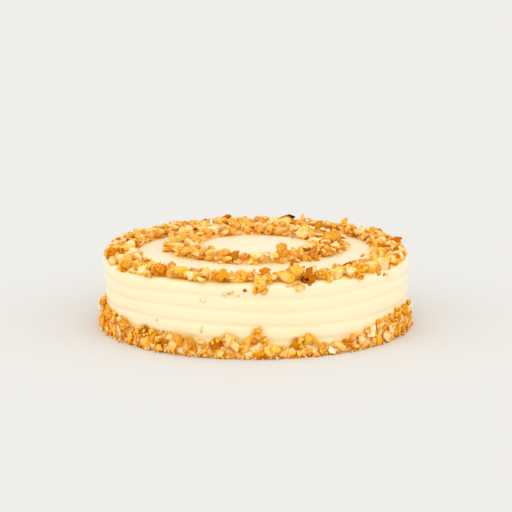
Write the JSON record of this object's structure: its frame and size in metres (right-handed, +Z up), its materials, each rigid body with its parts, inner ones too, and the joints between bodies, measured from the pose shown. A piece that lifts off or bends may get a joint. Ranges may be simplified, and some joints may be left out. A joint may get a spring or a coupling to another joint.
{
  "type": "carrot cake",
  "caption": "Uncut round carrot cake in cream-cheese frosting, with chopped walnuts ringed along the rim, round the bare middle and pressed to the foot of the side.",
  "frame": {"origin": "middle of the flat underside, where the cake rests on its board", "axes": "+Z up through the middle of the top; -Y is the front, the side that the picture shows; +X to the right of that view"},
  "size_m": [0.2199, 0.2176, 0.065],
  "materials": {
    "cream_frosting": "soft cream-cheese frosting, smooth with a low sheen",
    "chopped_walnut": "chopped toasted walnut, pale cut faces and amber skin, dry with a faint oily sheen"
  },
  "bodies": {
    "root": {"frosted_cake": "cream_frosting", "rim_walnuts": "chopped_walnut", "inner_walnuts": "chopped_walnut", "base_walnuts": "chopped_walnut"}
  },
  "joints": []
}
